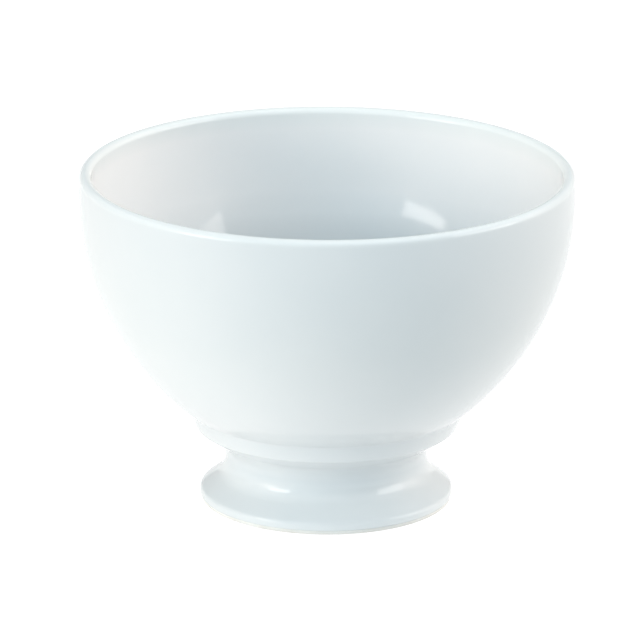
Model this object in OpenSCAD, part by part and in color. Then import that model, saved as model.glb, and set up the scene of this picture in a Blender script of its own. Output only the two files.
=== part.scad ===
// Footed bowl: a round porcelain bowl stuck with slip on a pedestal foot, then glazed.
// Millimetres, +Z up. The origin is the centre of the standing ring, on the table.
// Every piece is turned from an outline of tangent arcs in the half plane [radius, height].

/* [Bowl] */
// Diameter across the rim
rim_d = 140; // [120:1:170]
// Distance of the wall arc's centre beyond the bowl's axis
wall_reach = 10; // [6:0.5:16]
// Height of the rim above the place where the wall stands upright
lip_rise = 6; // [4:0.5:10]
// Thickness of the wall, and of the round lip that ends it
wall = 3.4; // [2.6:0.1:4.4]
// Thickness of the floor at the middle
floor_t = 5; // [4:0.1:7]

/* [Collar] */
// Diameter of the crease where the bowl meets the collar
crease_d = 78.6; // [74:0.2:84]
// Height of the crease above the table
foot_h = 27; // [24:0.5:32]
// Height of the collar's lower edge below the bowl's surface over it
collar_h = 3.2; // [2:0.1:5]
// Diameter at the lower end of the collar's band
collar_d = 74.4; // [70:0.2:77]
// Radius that rounds the collar's lower edge
collar_edge_r = 0.9; // [0.5:0.1:1.5]

/* [Foot] */
// Diameter of the foot at its widest
foot_d = 71.6; // [66:0.2:80]
// Diameter of the neck at its narrowest
neck_d = 57.2; // [50:0.2:62]
// Thickness of the foot's wall at the neck
foot_wall = 5.5; // [4.6:0.1:7]
// Least thickness of the foot between the cove and the bowl
seat_wall = 2.5; // [1.8:0.1:4]
// Height of the foot's widest place
bead_z = 2.6; // [2:0.1:4]
// Radius that rounds the bead above the widest place
bead_r = 1.6; // [1:0.1:2.2]
// Width of the flat ring that the foot stands on
ring_w = 2.8; // [2:0.1:4]
// Radius that rounds both edges of the standing ring
base_edge_r = 0.8; // [0.5:0.1:1.2]

/* [Slip joint] */
// Thickness of the slip between the bowl and its seat on the foot
slip_t = 0.5; // [0.3:0.05:0.8]
// Radius of the fillet in the crease outside
crease_r = 2.4; // [1:0.1:4]
// Radius of the fillet under the bowl, inside the foot
throat_fillet_r = 1.8; // [1:0.1:3]

/* [Glaze] */
// Thickness of the glaze
glaze_t = 0.3; // [0.2:0.05:0.5]
// Height of the unglazed strip at the standing ring
bare_h = 1.2; // [0.9:0.1:1.8]

/* [Hidden] */
$fn = 144;

// Most that a straight step of an outline may cut off an arc
arc_gap = 0.01;
// Share of the throat's radius that the round middle of the bowl's underside takes
base_round_share = 0.7;
// The cove's radius takes the least of these shares: of the height from bead to collar, of the height
// from bead to bowl, and of the collar's overhang
cove_height_share = 0.4;
cove_bowl_share = 0.56;
cove_overhang_share = 0.9;
// Height from the neck to the collar's lower edge, as a share of the cove's radius
cove_drop_share = 1.35;
// Height where the throat starts to widen, as a share of the height of its fillet, and the radius of
// that turn, as a share of its height
turn_z_share = 0.865;
turn_r_share = 0.5;

// The wall's arcs share one centre, so the wall is equally thick from the lip to the floor's arc
wall_arc_r = rim_d / 2 + wall_reach;
inner_arc_r = wall_arc_r - wall;
wall_c = [-wall_reach, foot_h + wall_drop(crease_d / 2)];
lip_a = asin((lip_rise - wall / 2) / (wall_arc_r - wall / 2));
lip_c = polar(wall_c, wall_arc_r - wall / 2, lip_a);

// The neck, the throat inside it and the round middle of the bowl's underside
neck_r = neck_d / 2;
throat_r = neck_r - foot_wall;
base_round_r = base_round_share * throat_r;
base_arc_r = wall_arc_r * base_round_r / (base_round_r + wall_reach);
base_c = [0, wall_c[1] - leg(wall_arc_r - base_arc_r, wall_reach)];
base_a = heading(base_c - wall_c);

// The floor's arc is centred on the axis and tangent to the inside of the wall
floor_z = base_c[1] - base_arc_r + floor_t;
floor_drop = wall_c[1] - floor_z;
floor_arc_r = (pow(inner_arc_r, 2) - pow(wall_reach, 2) - pow(floor_drop, 2))
    / (2 * (inner_arc_r - floor_drop));
floor_c = [0, floor_z + floor_arc_r];
floor_a = heading(floor_c - wall_c);

// The collar's band runs from the crease down to its rounded lower edge
crease = [crease_d / 2, foot_h];
collar_low = [collar_d / 2, min(foot_h, wall_c[1] - wall_drop(collar_d / 2)) - collar_h];
band_n = heading(crease - collar_low) - 90;
collar_edge_c = polar(collar_low, -collar_edge_r, band_n);

// The cove lies between the collar's edge and the bead, with a straight tangent to each, and stays
// clear of the bowl
foot_r = foot_d / 2;
bead_c = [foot_r - bead_r, bead_z];
bead_top = bead_z + bead_r;
cove_r = min(
    cove_height_share * (collar_low[1] - bead_top),
    cove_bowl_share * (wall_c[1] - wall_drop(neck_r) - seat_wall - bead_top),
    cove_overhang_share * (collar_low[0] - neck_r)
);
cove_under_bowl = under_bowl(neck_r + cove_r, wall_arc_r + seat_wall + cove_r);
cove_c = [neck_r + cove_r, min(collar_low[1] - cove_drop_share * cove_r, cove_under_bowl[1])];
under_n = heading(cove_c - collar_edge_c) + tangent_turn(cove_c - collar_edge_c, cove_r + collar_edge_r);
flare_n = heading(cove_c - bead_c) - tangent_turn(cove_c - bead_c, cove_r + bead_r);

// The fillet in the crease touches the band and the bowl's wall
crease_c = on_circle(polar(collar_low, crease_r, band_n), band_n + 90, wall_c, wall_arc_r + crease_r);
crease_a = heading(crease_c - wall_c);

// The fillet under the bowl touches the throat's wall and the bowl
throat_c = under_bowl(throat_r - throat_fillet_r, wall_arc_r + throat_fillet_r);
throat_a = heading(throat_c - wall_c);

// The seat on the foot follows the bowl, a slip's thickness away
seat_arc_r = wall_arc_r - glaze_t + slip_t;
seat_out = on_circle(polar(collar_low, -glaze_t, band_n), band_n + 90, wall_c, seat_arc_r);
seat_out_a = heading(seat_out - wall_c);
seat_in_a = -acos((throat_r + glaze_t + wall_reach) / seat_arc_r);

// The two rounded edges of the standing ring
ring_out_c = [foot_r - glaze_t - base_edge_r, base_edge_r];
ring_in_c = ring_out_c - [ring_w, 0];

// The throat turns outward below its fillet and then widens straight to the standing ring
turn_z = turn_z_share * throat_c[1];
turn_r = turn_r_share * turn_z;
turn_c = [throat_r + turn_r, turn_z];
recess_n = heading(ring_in_c - turn_c) - tangent_turn(ring_in_c - turn_c, turn_r - base_edge_r - glaze_t);

// Other leg of a right triangle
function leg(long, side) = sqrt(pow(long, 2) - pow(side, 2));

// Height of the wall arc's centre above its outer surface at a radius from the bowl's axis
function wall_drop(r) = leg(wall_arc_r, r + wall_reach);

// Point below the bowl at a radius from its axis and a distance from the wall arc's centre
function under_bowl(r, far) = [r, wall_c[1] - leg(far, r + wall_reach)];

// Direction of a vector, in degrees
function heading(v) = atan2(v[1], v[0]);

// Point at a distance and direction from another
function polar(from, r, a) = from + r * [cos(a), sin(a)];

// Angle between the line of two centres and the normal of their tangent, from the sum of the radii
// for a crossed tangent, or their difference for an open one
function tangent_turn(v, radii) = acos(radii / norm(v));

// First point of a circle on the line from a point in a direction
function on_circle(from, a, centre, r) =
    let (w = from - centre, along = w * [cos(a), sin(a)])
    polar(from, -along - sqrt(pow(along, 2) - w * w + pow(r, 2)), a);

// Points along an arc; its last point is left out where the next arc starts there
function arc(centre, r, start, end, last = true) =
    let (steps = max(2, ceil(abs(end - start) / (2 * acos(1 - arc_gap / r)))))
    [for (i = [0 : last ? steps : steps - 1]) polar(centre, r, start + (end - start) * i / steps)];

function reversed(points) = [for (i = [len(points) - 1 : -1 : 0]) points[i]];

// Radius of the foot's flared inner wall at a height, a depth below its glazed surface
function recess_r(z, depth) =
    ring_in_c[0] + (base_edge_r + glaze_t - depth - (z - base_edge_r) * sin(recess_n)) / cos(recess_n);

// Outlines by their depth below the glazed surface: 0 is the glaze, glaze_t the clay under it

// From the unglazed strip over bead, cove and collar to the fillet in the crease
function foot_outside(depth) = concat(
    [[foot_r - depth, bare_h]],
    arc(bead_c, bead_r - depth, 0, flare_n),
    arc(cove_c, cove_r + depth, flare_n + 180, under_n + 180),
    arc(collar_edge_c, collar_edge_r - depth, under_n, band_n)
);

function crease_fillet(depth, last) =
    arc(crease_c, crease_r + depth, band_n + 180, crease_a + 180, last);

// From the crease up the wall, over the lip and down to the middle of the floor
function bowl_upper(depth) = concat(
    arc(wall_c, wall_arc_r - depth, crease_a, lip_a, false),
    arc(lip_c, wall / 2 - depth, lip_a, lip_a + 180, false),
    arc(wall_c, inner_arc_r + depth, lip_a, floor_a, false),
    arc(floor_c, floor_arc_r + depth, floor_a, -90)
);

// From the middle of the bowl's underside out to the fillet in the throat
function bowl_underside(depth) = concat(
    arc(base_c, base_arc_r - depth, -90, base_a, false),
    arc(wall_c, wall_arc_r - depth, base_a, throat_a, false)
);

function throat_fillet(depth) = arc(throat_c, throat_fillet_r + depth, throat_a + 180, 0);

// The turn from the throat's upright wall to its flared one
function recess_turn(depth) = arc(turn_c, turn_r - depth, -180, recess_n);

// Where the slip lies: the bowl's surface between the two fillets, and the seat
bowl_seat = arc(wall_c, wall_arc_r - glaze_t, throat_a, crease_a, false);
foot_seat = arc(wall_c, seat_arc_r, seat_in_a, seat_out_a);

module turned(outline) {
    rotate_extrude() polygon(outline);
}

// Bowl, a round shell with a lip, a thicker floor and a rounded underside
module bowl_body() {
    color("whitesmoke") turned(concat(bowl_underside(glaze_t), bowl_seat, bowl_upper(glaze_t)));
}

// Slip that sticks the bowl to its foot, wiped to a fillet outside and in the throat
module slip_joint() {
    color("lightgray") turned(concat(
        crease_fillet(glaze_t, true),
        reversed(bowl_seat),
        throat_fillet(glaze_t),
        foot_seat
    ));
}

// Foot, with the dished seat, the collar, the cove, the bead and the hollow underside
module pedestal_foot() {
    color("whitesmoke") turned(concat(
        arc(ring_out_c, base_edge_r, -90, 0),
        foot_outside(glaze_t),
        reversed(foot_seat),
        recess_turn(glaze_t),
        arc(ring_in_c, base_edge_r, recess_n, -90)
    ));
}

// Glaze over the outside, the lip and the inside, down to the unglazed strip
module glaze_coat() {
    color("aliceblue") turned(concat(outer_coat(0), reversed(outer_coat(glaze_t))));
}

function outer_coat(depth) = concat(foot_outside(depth), crease_fillet(depth, false), bowl_upper(depth));

// Glaze in the hollow of the foot and under the bowl
module recess_glaze() {
    color("aliceblue") turned(concat(inner_coat(0), reversed(inner_coat(glaze_t))));
}

function inner_coat(depth) = concat(
    bowl_underside(depth),
    throat_fillet(depth),
    recess_turn(depth),
    [[recess_r(bare_h, depth), bare_h]]
);

bowl_body();
slip_joint();
pedestal_foot();
glaze_coat();
recess_glaze();
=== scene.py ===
"""Footed porcelain bowl on a white studio table.

Metres, in the frame of the CAD part: +Z up, the bowl stands on z = 0, and the camera looks from -Y.
"""
import math

import bpy
from mathutils import Matrix, Quaternion, Vector


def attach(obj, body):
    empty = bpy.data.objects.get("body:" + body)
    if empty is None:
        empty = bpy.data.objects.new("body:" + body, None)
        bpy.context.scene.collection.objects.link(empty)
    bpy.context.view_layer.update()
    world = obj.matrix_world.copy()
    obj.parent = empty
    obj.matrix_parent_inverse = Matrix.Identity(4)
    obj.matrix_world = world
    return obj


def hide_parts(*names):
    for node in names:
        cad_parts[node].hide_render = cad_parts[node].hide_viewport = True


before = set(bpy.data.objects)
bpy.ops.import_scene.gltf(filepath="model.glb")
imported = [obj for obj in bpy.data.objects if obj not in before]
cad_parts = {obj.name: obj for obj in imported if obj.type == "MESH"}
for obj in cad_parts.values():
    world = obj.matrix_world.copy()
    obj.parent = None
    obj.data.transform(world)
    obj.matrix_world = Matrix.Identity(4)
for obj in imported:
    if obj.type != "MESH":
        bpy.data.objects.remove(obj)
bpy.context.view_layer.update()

MM = 0.001

# Bowl: the wall's arcs, the lip and the floor
RIM_R = 70 * MM
WALL_REACH = 10 * MM
LIP_RISE = 6 * MM
WALL = 3.4 * MM
FLOOR_T = 5 * MM

# Collar
CREASE_R = 39.3 * MM
FOOT_H = 27 * MM
COLLAR_H = 3.2 * MM
COLLAR_R = 37.2 * MM
COLLAR_EDGE_R = 0.9 * MM
CREASE_FILLET_R = 2.4 * MM

# Foot
FOOT_R = 35.8 * MM
NECK_R = 28.6 * MM
FOOT_WALL = 5.5 * MM
BEAD_Z = 2.6 * MM
BEAD_R = 1.6 * MM
RING_W = 2.8 * MM
BASE_EDGE_R = 0.8 * MM
THROAT_FILLET_R = 1.8 * MM
BASE_ROUND_SHARE = 0.7
COVE_SHARE = 0.4
COVE_DROP_SHARE = 1.35
TURN_Z_SHARE = 0.865
TURN_R_SHARE = 0.5

# Glaze
GLAZE_T = 0.3 * MM
BARE_H = 1.2 * MM
GLAZE_END_H = 0.5 * MM

# Fineness of the turned meshes
SEGMENTS = 256
ARC_GAP = 0.0015 * MM
ARC_TURN = math.radians(4)
LONGEST_STEP = 1.2 * MM
SAME_PLACE = ARC_GAP / 10
GLAZE_END_STEPS = 8


def leg(long, side):
    """Other leg of a right triangle."""
    return math.sqrt(long ** 2 - side ** 2)


def heading(v):
    return math.atan2(v[1], v[0])


def polar(start, r, a):
    return Vector((start[0] + r * math.cos(a), start[1] + r * math.sin(a)))


def tangent_turn(v, radii):
    """Angle between the line of two centres and the normal of their tangent."""
    return math.acos(radii / v.length)


def on_circle(start, a, centre, r):
    """First point of a circle on the line from a point in a direction."""
    w = start - centre
    along = w.dot(Vector((math.cos(a), math.sin(a))))
    return polar(start, -along - math.sqrt(along ** 2 - w.length_squared + r ** 2), a)


def arc(centre, r, start, end):
    step = min(ARC_TURN, 2 * math.acos(1 - ARC_GAP / r))
    steps = max(2, math.ceil(abs(end - start) / step))
    return [polar(centre, r, start + (end - start) * i / steps) for i in range(steps + 1)]


def wall_drop(r):
    """Height of the wall arc's centre above its outer surface at a radius from the bowl's axis."""
    return leg(WALL_ARC_R, r + WALL_REACH)


# The wall's arcs share one centre
WALL_ARC_R = RIM_R + WALL_REACH
INNER_ARC_R = WALL_ARC_R - WALL
WALL_C = Vector((-WALL_REACH, FOOT_H + wall_drop(CREASE_R)))
LIP_A = math.asin((LIP_RISE - WALL / 2) / (WALL_ARC_R - WALL / 2))
LIP_C = polar(WALL_C, WALL_ARC_R - WALL / 2, LIP_A)
LIP_TOP = WALL_C.y + LIP_RISE

# The throat and the round middle of the bowl's underside
THROAT_R = NECK_R - FOOT_WALL
BASE_ROUND_R = BASE_ROUND_SHARE * THROAT_R
BASE_ARC_R = WALL_ARC_R * BASE_ROUND_R / (BASE_ROUND_R + WALL_REACH)
BASE_C = Vector((0, WALL_C.y - leg(WALL_ARC_R - BASE_ARC_R, WALL_REACH)))
BASE_A = heading(BASE_C - WALL_C)

# The floor's arc is centred on the axis and tangent to the inside of the wall
FLOOR_Z = BASE_C.y - BASE_ARC_R + FLOOR_T
FLOOR_DROP = WALL_C.y - FLOOR_Z
FLOOR_ARC_R = (INNER_ARC_R ** 2 - WALL_REACH ** 2 - FLOOR_DROP ** 2) / (2 * (INNER_ARC_R - FLOOR_DROP))
FLOOR_C = Vector((0, FLOOR_Z + FLOOR_ARC_R))
FLOOR_A = heading(FLOOR_C - WALL_C)

# The collar's band and its rounded lower edge
CREASE = Vector((CREASE_R, FOOT_H))
COLLAR_LOW = Vector((COLLAR_R, WALL_C.y - wall_drop(COLLAR_R) - COLLAR_H))
BAND_N = heading(CREASE - COLLAR_LOW) - math.pi / 2
COLLAR_EDGE_C = polar(COLLAR_LOW, -COLLAR_EDGE_R, BAND_N)

# The cove between the collar's edge and the bead
BEAD_C = Vector((FOOT_R - BEAD_R, BEAD_Z))
COVE_R = COVE_SHARE * (COLLAR_LOW.y - BEAD_Z - BEAD_R)
COVE_C = Vector((NECK_R + COVE_R, COLLAR_LOW.y - COVE_DROP_SHARE * COVE_R))
UNDER_N = heading(COVE_C - COLLAR_EDGE_C) + tangent_turn(COVE_C - COLLAR_EDGE_C, COVE_R + COLLAR_EDGE_R)
FLARE_N = heading(COVE_C - BEAD_C) - tangent_turn(COVE_C - BEAD_C, COVE_R + BEAD_R)

# The fillets in the crease outside and under the bowl in the throat
CREASE_C = on_circle(
    polar(COLLAR_LOW, CREASE_FILLET_R, BAND_N), BAND_N + math.pi / 2, WALL_C, WALL_ARC_R + CREASE_FILLET_R
)
CREASE_A = heading(CREASE_C - WALL_C)
THROAT_FILLET_X = THROAT_R - THROAT_FILLET_R
THROAT_C = Vector(
    (THROAT_FILLET_X, WALL_C.y - leg(WALL_ARC_R + THROAT_FILLET_R, THROAT_FILLET_X + WALL_REACH))
)
THROAT_A = heading(THROAT_C - WALL_C)

# The standing ring and the widening throat
RING_OUT_C = Vector((FOOT_R - GLAZE_T - BASE_EDGE_R, BASE_EDGE_R))
RING_IN_C = RING_OUT_C - Vector((RING_W, 0))
TURN_Z = TURN_Z_SHARE * THROAT_C.y
TURN_R = TURN_R_SHARE * TURN_Z
TURN_C = Vector((THROAT_R + TURN_R, TURN_Z))
RECESS_N = heading(RING_IN_C - TURN_C) - tangent_turn(RING_IN_C - TURN_C, TURN_R - BASE_EDGE_R - GLAZE_T)


def recess_r(z, depth):
    """Radius of the foot's flared inner wall at a height, a depth below its glazed surface."""
    below = BASE_EDGE_R + GLAZE_T - depth - (z - BASE_EDGE_R) * math.sin(RECESS_N)
    return RING_IN_C.x + below / math.cos(RECESS_N)


def rounded_end(surface_r, clay_r):
    """Points where the glaze thins out to the clay, from the clay up to the glaze's full thickness."""
    points = []
    for i in range(GLAZE_END_STEPS + 1):
        a = math.pi / 2 * i / GLAZE_END_STEPS
        z = BARE_H + GLAZE_END_H * (1 - math.cos(a))
        points.append(Vector((clay_r(z) + (surface_r(z) - clay_r(z)) * math.sin(a), z)))
    return points


def outer_surface(depth):
    """From the bead over cove, collar, wall and lip to the middle of the floor."""
    return (
        arc(BEAD_C, BEAD_R - depth, 0, FLARE_N)
        + arc(COVE_C, COVE_R + depth, FLARE_N + math.pi, UNDER_N + math.pi)
        + arc(COLLAR_EDGE_C, COLLAR_EDGE_R - depth, UNDER_N, BAND_N)
        + arc(CREASE_C, CREASE_FILLET_R + depth, BAND_N + math.pi, CREASE_A + math.pi)
        + arc(WALL_C, WALL_ARC_R - depth, CREASE_A, LIP_A)
        + arc(LIP_C, WALL / 2 - depth, LIP_A, LIP_A + math.pi)
        + arc(WALL_C, INNER_ARC_R + depth, LIP_A, FLOOR_A)
        + arc(FLOOR_C, FLOOR_ARC_R + depth, FLOOR_A, -math.pi / 2)
    )


def recess_surface(depth):
    """From the middle of the bowl's underside over the throat's fillet to the foot's flared inner wall."""
    return (
        arc(BASE_C, BASE_ARC_R - depth, -math.pi / 2, BASE_A)
        + arc(WALL_C, WALL_ARC_R - depth, BASE_A, THROAT_A)
        + arc(THROAT_C, THROAT_FILLET_R + depth, THROAT_A + math.pi, 0)
        + arc(TURN_C, TURN_R - depth, -math.pi, RECESS_N)
    )


def coat_outline():
    """Closed outline of the outer glaze, from the middle of the floor under the glaze to the same on top."""
    end = rounded_end(lambda z: FOOT_R, lambda z: FOOT_R - GLAZE_T)
    return list(reversed(outer_surface(GLAZE_T))) + end + outer_surface(0)


def recess_outline():
    """Closed outline of the glaze in the hollow of the foot."""
    end = rounded_end(lambda z: recess_r(z, 0), lambda z: recess_r(z, GLAZE_T))
    return recess_surface(0) + list(reversed(end)) + list(reversed(recess_surface(GLAZE_T)))


def stepped(outline):
    """The outline without doubled points and with its long steps divided."""
    points = [outline[0]]
    for p in outline[1:]:
        start = points[-1]
        gap = (p - start).length
        if gap < SAME_PLACE:
            continue
        pieces = math.ceil(gap / LONGEST_STEP)
        points += [start.lerp(p, i / pieces) for i in range(1, pieces + 1)]
    return points


def turned(name, outline):
    """Closed mesh of an outline turned about the axis; the outline starts and ends on the axis."""
    points = stepped(outline)
    rings = points[1:-1]
    verts = [(0, 0, points[0].y)]
    for p in rings:
        for k in range(SEGMENTS):
            a = 2 * math.pi * k / SEGMENTS
            verts.append((p.x * math.cos(a), p.x * math.sin(a), p.y))
    verts.append((0, 0, points[-1].y))
    end = len(verts) - 1
    last_ring = end - SEGMENTS
    faces = []
    for k in range(SEGMENTS):
        n = (k + 1) % SEGMENTS
        faces.append((0, 1 + n, 1 + k))
        for ring in range(1, last_ring, SEGMENTS):
            after = ring + SEGMENTS
            faces.append((ring + k, ring + n, after + n, after + k))
        faces.append((last_ring + k, last_ring + n, end))
    mesh = bpy.data.meshes.new(name)
    mesh.from_pydata(verts, [], faces)
    mesh.validate()
    mesh.shade_smooth()
    piece = bpy.data.objects.new(name, mesh)
    bpy.context.scene.collection.objects.link(piece)
    return piece


# Camera, fitted to the photograph
PICTURE_PX = 640
SENSOR = 36
CAMERA_DISTANCE = 2
CAMERA_REACH = 10
CAMERA_PITCH = math.radians(17.156)
CAMERA_ROLL = math.radians(0.195)
CAMERA_AIM = Vector((-1.946 * MM, 0, 52.23 * MM))
PX_PER_METRE_AT_AIM = 3533

WHITE = (1, 1, 1, 1)

# Table: its colour in the light that it throws on the bowl, and as it is seen
TABLE_SIZE = 8
TABLE_DROP = 0.02 * MM
TABLE_COLOUR = (0.55, 0.56, 0.56, 1)
TABLE_SEEN_COLOUR = (0.3, 0.3, 0.3, 1)
TABLE_SEEN_GLOW = (0.86, 0.86, 0.86, 1)

# Start and end of each glow and its strength there: by distance from the middle, and by distance to one side
ROUND_GLOW = (70 * MM, 200 * MM, 0.42, 0)
SIDE_GLOW = (0, 150 * MM, 0, 0.38)
SIDE_GLOW_COLOUR = (1, 0.95, 0.9, 1)
SIDE_GLOW_AZIMUTH = -65

# Azimuth, elevation, sharpness, colour and strength of each soft wall of the room
ROOM_COLOUR = (0.55, 0.86, 1, 1)
ROOM_STRENGTH = 0.18
WALLS = (
    (-64, 3, 25, (1, 0.85, 0.72), 11.4),
    (105, 12, 25, (1, 0.9, 0.82), 6.2),
    (-30, 20, 6, (0.4, 0.78, 1), 1.3),
    (90, 45, 8, (0.95, 0.97, 1), 0.45),
    (40, 75, 10, (1, 0.96, 0.92), 2.5),
)

# Share of the room in what the gloss mirrors; the rest is the white backdrop
ROOM_GLOSS_SHARE = 0.25

# Azimuth, elevation, sharpness and depth of the dark card beside the camera, which only the gloss mirrors
DARK_CARD = (35, 0, 3, 0.9)

# Name, azimuth, elevation, tilt, (width, height), colour and power of each lamp, all at the same distance
LAMP_AIM = Vector((0, 0, 50 * MM))
LAMP_DISTANCE = 1
LAMPS = (
    ("window_left", -54, 14, 0, (0.42, 0.22), (1, 0.97, 0.94), 1.2),
    ("window_right", 77, 18, -20, (0.6, 0.4), (1, 0.96, 0.92), 2.3),
    ("strip_back", 118, 49, -40, (0.6, 0.1), (1, 0.97, 0.94), 0.5),
)

# Colours of the glaze by height, with painted shade in cove and crease and down the inside, painted light
# high on the inside, and a lip paler from thinner glaze and a painted highlight
OUTSIDE_GLAZE_AND_PAINTED_SHADING = (
    (0, (0.7, 0.715, 0.72)),
    (9 * MM, (0.72, 0.735, 0.74)),
    (13 * MM, (0.64, 0.67, 0.685)),
    # Painted shade in the cove
    (21 * MM, (0.71, 0.725, 0.73)),
    (26.5 * MM, (0.66, 0.68, 0.69)),
    # Painted shade in the crease
    (30 * MM, (0.72, 0.735, 0.74)),
    (60 * MM, (0.685, 0.705, 0.71)),
    (94 * MM, (0.67, 0.69, 0.7)),
    # Lip paler from thinner glaze, with a painted highlight along it
    (LIP_TOP, (0.82, 0.84, 0.84)),
)
INSIDE_GLAZE_AND_PAINTED_SHADING = (
    # Painted shade deep in the bowl, up to 60 mm
    (16 * MM, (0.66, 0.68, 0.69)),
    (55 * MM, (0.67, 0.69, 0.695)),
    (60 * MM, (0.74, 0.75, 0.755)),
    # Painted light high on the inside, up to 90 mm
    (66 * MM, (0.88, 0.87, 0.865)),
    (72 * MM, (0.94, 0.915, 0.905)),
    (90 * MM, (0.94, 0.915, 0.905)),
    # Lip paler from thinner glaze, with a painted highlight along it
    (LIP_TOP, (0.84, 0.855, 0.845)),
)

# Scale and detail of each noise, strength and distance of each bump
CLOUD = (30, 3)
CLOUD_STOPS = ((0.3, (0.97, 0.98, 0.985)), (0.7, (1, 1, 1)))
WAVE = (60, 2)
WAVE_BUMP = (0.25, 0.2 * MM)
PEEL = (900, 2)
PEEL_BUMP = (0.12, 0.02 * MM)
SMUDGE = (120, 4)
GRAIN = (2600, 3)
GRAIN_BUMP = (0.5, 0.06 * MM)

# Glaze and bare clay
GLAZE_IOR = 1.5
GLAZE_ROUGHNESS = (0.07, 0.1)
CLAY_IOR = 1.45
CLAY_ROUGHNESS = 0.75
BISQUE_STOPS = ((0.35, (0.71, 0.69, 0.65)), (0.65, (0.76, 0.75, 0.72)))
SLIP_STOPS = ((0.35, (0.63, 0.6, 0.54)), (0.65, (0.7, 0.67, 0.62)))

# Places of the two colours and of the result among the sockets of a colour Mix node
MIX_FIRST, MIX_SECOND, MIX_RESULT = 6, 7, 2


class Nodes:
    """Short calls for building a node tree."""

    def __init__(self, tree):
        self.tree = tree
        tree.nodes.clear()

    def add(self, kind, **values):
        """A node with its properties and the values of its unlinked inputs."""
        node = self.tree.nodes.new(kind)
        for key, value in values.items():
            if key in node.bl_rna.properties:
                setattr(node, key, value)
            else:
                node.inputs[key.replace("_", " ")].default_value = value
        return node

    def link(self, source, target):
        """Feed an input from an output, or set it to a number."""
        if isinstance(source, (int, float)):
            target.default_value = source
        else:
            self.tree.links.new(source, target)


def new_material(name):
    material = bpy.data.materials.new(name)
    material.use_nodes = True
    return material, Nodes(material.node_tree)


def math_node(n, operation, first, second):
    """Output of a Math node; each operand is a socket or a number."""
    node = n.add("ShaderNodeMath", operation=operation)
    n.link(first, node.inputs[0])
    n.link(second, node.inputs[1])
    return node.outputs[0]


def length_of(n, a, b):
    """Length of the vector with two components."""
    pair = n.add("ShaderNodeCombineXYZ")
    size = n.add("ShaderNodeVectorMath", operation="LENGTH")
    n.link(a, pair.inputs[0])
    n.link(b, pair.inputs[1])
    n.link(pair.outputs[0], size.inputs[0])
    return size.outputs["Value"]


def noise(n, texture):
    """Noise in the object's own coordinates."""
    scale, detail = texture
    node = n.add("ShaderNodeTexNoise", Scale=scale, Detail=detail)
    n.link(n.add("ShaderNodeTexCoord").outputs["Object"], node.inputs["Vector"])
    return node.outputs["Fac"]


def bump(n, height, relief):
    """Bump node over a height; its own Normal input stays free."""
    strength, distance = relief
    node = n.add("ShaderNodeBump", Strength=strength, Distance=distance)
    n.link(height, node.inputs["Height"])
    return node


def ramp(n, factor, stops):
    """Colour ramp over stops of (position, colour)."""
    node = n.add("ShaderNodeValToRGB")
    elements = node.color_ramp.elements
    elements[0].position, elements[-1].position = stops[0][0], stops[-1][0]
    elements[0].color, elements[-1].color = (*stops[0][1], 1), (*stops[-1][1], 1)
    for position, colour in stops[1:-1]:
        elements.new(position).color = (*colour, 1)
    n.link(factor, node.inputs[0])
    return node.outputs["Color"]


def mix_colours(n, blend_type, factor, first, second):
    node = n.add("ShaderNodeMix", data_type="RGBA", blend_type=blend_type)
    n.link(factor, node.inputs["Factor"])
    n.link(first, node.inputs[MIX_FIRST])
    n.link(second, node.inputs[MIX_SECOND])
    return node.outputs[MIX_RESULT]


def mix_shaders(n, factor, first, second):
    mix = n.add("ShaderNodeMixShader")
    n.link(factor, mix.inputs[0])
    n.link(first, mix.inputs[1])
    n.link(second, mix.inputs[2])
    return mix.outputs[0]


def add_shaders(n, first, second):
    both = n.add("ShaderNodeAddShader")
    n.link(first, both.inputs[0])
    n.link(second, both.inputs[1])
    return both.outputs[0]


def towards(azimuth, elevation):
    """Unit vector; azimuth 0 is the camera's side and 90 the right."""
    a, e = math.radians(azimuth), math.radians(elevation)
    return Vector((math.sin(a) * math.cos(e), -math.cos(a) * math.cos(e), math.sin(e)))


def glaze_colour_and_painted_shading(n):
    """Painted shade down the inside and in crease and cove, painted light high on the inside, and pale on
    the lip from thinner glaze and a painted highlight.
    """
    parts = n.add("ShaderNodeSeparateXYZ")
    n.link(n.add("ShaderNodeTexCoord").outputs["Object"], parts.inputs[0])
    x, y, z = parts.outputs
    from_arc = length_of(
        n,
        math_node(n, "ADD", length_of(n, x, y), WALL_REACH),
        math_node(n, "SUBTRACT", z, WALL_C.y),
    )
    inside = math_node(n, "LESS_THAN", from_arc, WALL_ARC_R - WALL / 2)
    height = math_node(n, "DIVIDE", z, LIP_TOP)
    outer, inner = (
        ramp(n, height, [(at / LIP_TOP, colour) for at, colour in stops])
        for stops in (OUTSIDE_GLAZE_AND_PAINTED_SHADING, INSIDE_GLAZE_AND_PAINTED_SHADING)
    )
    clouds = ramp(n, noise(n, CLOUD), CLOUD_STOPS)
    return mix_colours(n, "MULTIPLY", 1, mix_colours(n, "MIX", inside, outer, inner), clouds)


def glaze_material():
    """Clear glaze over white porcelain, with a slight wave and orange peel."""
    material, n = new_material("glaze")
    shader = n.add("ShaderNodeBsdfPrincipled", IOR=GLAZE_IOR)
    wave = noise(n, WAVE)
    gloss = n.add("ShaderNodeMapRange", To_Min=GLAZE_ROUGHNESS[0], To_Max=GLAZE_ROUGHNESS[1])
    wave_bump = bump(n, wave, WAVE_BUMP)
    peel_bump = bump(n, noise(n, PEEL), PEEL_BUMP)
    n.link(wave_bump.outputs["Normal"], peel_bump.inputs["Normal"])
    n.link(wave, gloss.inputs["Value"])
    n.link(glaze_colour_and_painted_shading(n), shader.inputs["Base Color"])
    n.link(gloss.outputs[0], shader.inputs["Roughness"])
    n.link(peel_bump.outputs["Normal"], shader.inputs["Normal"])
    n.link(shader.outputs["BSDF"], n.add("ShaderNodeOutputMaterial").inputs["Surface"])
    return material


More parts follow.
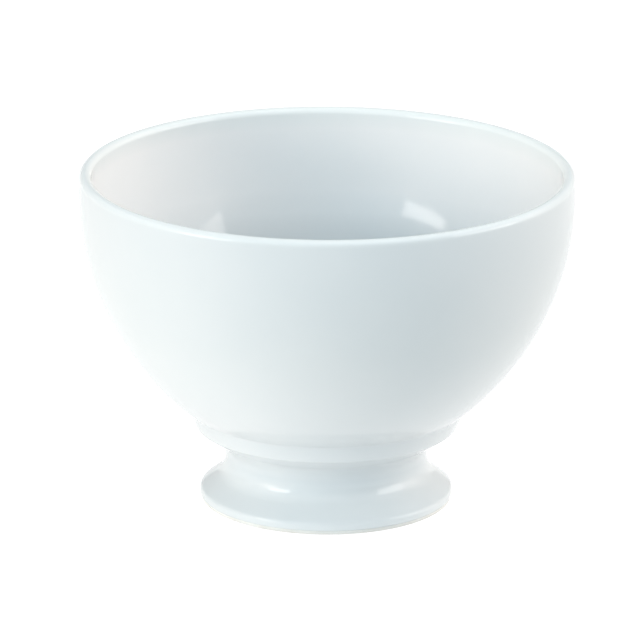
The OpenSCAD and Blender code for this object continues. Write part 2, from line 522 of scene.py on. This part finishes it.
def clay_material(name, stops):
    """Bare fired clay or slip, matte, with a fine grain and faint smudges."""
    material, n = new_material(name)
    shader = n.add("ShaderNodeBsdfPrincipled", Roughness=CLAY_ROUGHNESS, IOR=CLAY_IOR)
    n.link(ramp(n, noise(n, SMUDGE), stops), shader.inputs["Base Color"])
    n.link(bump(n, noise(n, GRAIN), GRAIN_BUMP).outputs["Normal"], shader.inputs["Normal"])
    n.link(shader.outputs["BSDF"], n.add("ShaderNodeOutputMaterial").inputs["Surface"])
    return material


def seen_directly(n):
    """1 on camera, glossy and transmission rays, which see the white ground, and 0 on diffuse rays."""
    path = n.add("ShaderNodeLightPath").outputs
    seen = math_node(n, "MAXIMUM", path["Is Camera Ray"], path["Is Glossy Ray"])
    return math_node(n, "MAXIMUM", seen, path["Is Transmission Ray"])


def glow(n, measure, fade, colour):
    """Emission that changes along a measure of the place on the table."""
    start, end, start_strength, end_strength = fade
    strength = n.add(
        "ShaderNodeMapRange", From_Min=start, From_Max=end, To_Min=start_strength, To_Max=end_strength
    )
    light = n.add("ShaderNodeEmission", Color=colour)
    n.link(n.add("ShaderNodeTexCoord").outputs["Object"], measure.inputs[0])
    n.link(measure.outputs["Value"], strength.inputs["Value"])
    n.link(strength.outputs[0], light.inputs["Strength"])
    return light.outputs[0]


def table_material():
    """Light table: white where it is seen, a little less in shadow; it glows round the bowl and to the left.

    From below it is clear, so that the underside of the foot can be looked at.
    """
    material, n = new_material("table")
    from_middle = n.add("ShaderNodeVectorMath", operation="LENGTH")
    to_side = n.add("ShaderNodeVectorMath", operation="DOT_PRODUCT")
    to_side.inputs[1].default_value = towards(SIDE_GLOW_AZIMUTH, 0)
    lit = n.add("ShaderNodeBsdfDiffuse", Color=TABLE_COLOUR).outputs[0]
    lit = add_shaders(n, lit, glow(n, from_middle, ROUND_GLOW, WHITE))
    lit = add_shaders(n, lit, glow(n, to_side, SIDE_GLOW, SIDE_GLOW_COLOUR))
    seen = add_shaders(
        n,
        n.add("ShaderNodeBsdfDiffuse", Color=TABLE_SEEN_COLOUR).outputs[0],
        n.add("ShaderNodeEmission", Color=TABLE_SEEN_GLOW).outputs[0],
    )
    surface = mix_shaders(
        n,
        n.add("ShaderNodeNewGeometry").outputs["Backfacing"],
        mix_shaders(n, seen_directly(n), lit, seen),
        n.add("ShaderNodeBsdfTransparent").outputs[0],
    )
    n.link(surface, n.add("ShaderNodeOutputMaterial").inputs["Surface"])
    material.cycles.emission_sampling = "NONE"
    return material


def make_table():
    mesh = bpy.data.meshes.new("table")
    s = TABLE_SIZE / 2
    mesh.from_pydata([(-s, -s, 0), (s, -s, 0), (s, s, 0), (-s, s, 0)], [], [(0, 1, 2, 3)])
    mesh.materials.append(table_material())
    table = bpy.data.objects.new("table", mesh)
    # A hair below the standing ring, whose face would otherwise share the plane
    table.location.z = -TABLE_DROP
    bpy.context.scene.collection.objects.link(table)


def patch(n, azimuth, elevation, sharpness, strength):
    """Smooth patch of the surroundings, strongest in its own direction and 0 at a right angle to it."""
    facing = n.add("ShaderNodeVectorMath", operation="DOT_PRODUCT")
    n.link(n.add("ShaderNodeTexCoord").outputs["Generated"], facing.inputs[0])
    facing.inputs[1].default_value = towards(azimuth, elevation)
    in_front = math_node(n, "MAXIMUM", facing.outputs["Value"], 0)
    return math_node(n, "MULTIPLY", math_node(n, "POWER", in_front, sharpness), strength)


def room_light(n):
    """Soft walls that light the bowl, over a faint light from everywhere."""
    light = n.add("ShaderNodeBackground", Color=ROOM_COLOUR, Strength=ROOM_STRENGTH).outputs[0]
    for azimuth, elevation, sharpness, colour, strength in WALLS:
        wall = n.add("ShaderNodeBackground", Color=(*colour, 1))
        n.link(patch(n, azimuth, elevation, sharpness, strength), wall.inputs["Strength"])
        light = add_shaders(n, light, wall.outputs[0])
    return light


def make_world():
    """The room lights the bowl and shows faintly in its gloss, and a white backdrop is seen."""
    world = bpy.data.worlds.new("studio")
    bpy.context.scene.world = world
    world.use_nodes = True
    n = Nodes(world.node_tree)
    room = room_light(n)
    on_gloss = n.add("ShaderNodeLightPath").outputs["Is Glossy Ray"]
    backdrop = n.add("ShaderNodeBackground", Color=WHITE)
    dark = math_node(n, "MULTIPLY", patch(n, *DARK_CARD), on_gloss)
    n.link(math_node(n, "SUBTRACT", 1, dark), backdrop.inputs["Strength"])
    room_share = math_node(n, "MULTIPLY", on_gloss, ROOM_GLOSS_SHARE)
    seen = mix_shaders(n, room_share, backdrop.outputs[0], room)
    everything = mix_shaders(n, seen_directly(n), room, seen)
    n.link(everything, n.add("ShaderNodeOutputWorld").inputs["Surface"])


def softbox(name, azimuth, elevation, tilt, size, colour, power):
    """Area lamp that faces the bowl, turned by tilt about its own direction."""
    lamp = bpy.data.lights.new(name, "AREA")
    lamp.shape = "RECTANGLE"
    lamp.size, lamp.size_y = size
    lamp.color = colour
    lamp.energy = power
    away = towards(azimuth, elevation)
    box = bpy.data.objects.new(name, lamp)
    box.location = LAMP_AIM + away * LAMP_DISTANCE
    box.rotation_mode = "QUATERNION"
    box.rotation_quaternion = Quaternion(away, math.radians(tilt)) @ away.to_track_quat("Z", "Y")
    bpy.context.scene.collection.objects.link(box)


def make_camera():
    """Long lens, looking down on the bowl from the front."""
    lens = bpy.data.cameras.new("camera")
    lens.sensor_width = SENSOR
    lens.lens = SENSOR * PX_PER_METRE_AT_AIM * CAMERA_DISTANCE / PICTURE_PX
    lens.clip_end = CAMERA_REACH
    back = Vector((0, -math.cos(CAMERA_PITCH), math.sin(CAMERA_PITCH)))
    up = Vector((0, math.sin(CAMERA_PITCH), math.cos(CAMERA_PITCH)))
    level = Matrix((Vector((1, 0, 0)), up, back)).transposed().to_4x4()
    place = Matrix.Translation(CAMERA_AIM + back * CAMERA_DISTANCE)
    camera = bpy.data.objects.new("camera", lens)
    camera.matrix_world = place @ level @ Matrix.Rotation(CAMERA_ROLL, 4, "Z")
    bpy.context.scene.collection.objects.link(camera)
    bpy.context.scene.camera = camera


# The two glazes, as finer meshes of the CAD's outlines
coat = turned("coat_skin", coat_outline())
recess = turned("recess_skin", recess_outline())
glaze = glaze_material()
for piece, node in ((coat, "glaze_coat"), (recess, "recess_glaze")):
    piece.data.materials.append(glaze)
    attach(piece, "root")
    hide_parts(node)

# The clay and the slip under them
bisque = clay_material("bisque", BISQUE_STOPS)
slip = clay_material("slip", SLIP_STOPS)
for node, material in (("bowl_body", bisque), ("pedestal_foot", bisque), ("slip_joint", slip)):
    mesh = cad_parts[node].data
    mesh.materials.clear()
    mesh.materials.append(material)

make_table()
make_world()
for lamp in LAMPS:
    softbox(*lamp)
make_camera()
bpy.context.scene.view_settings.view_transform = "Standard"
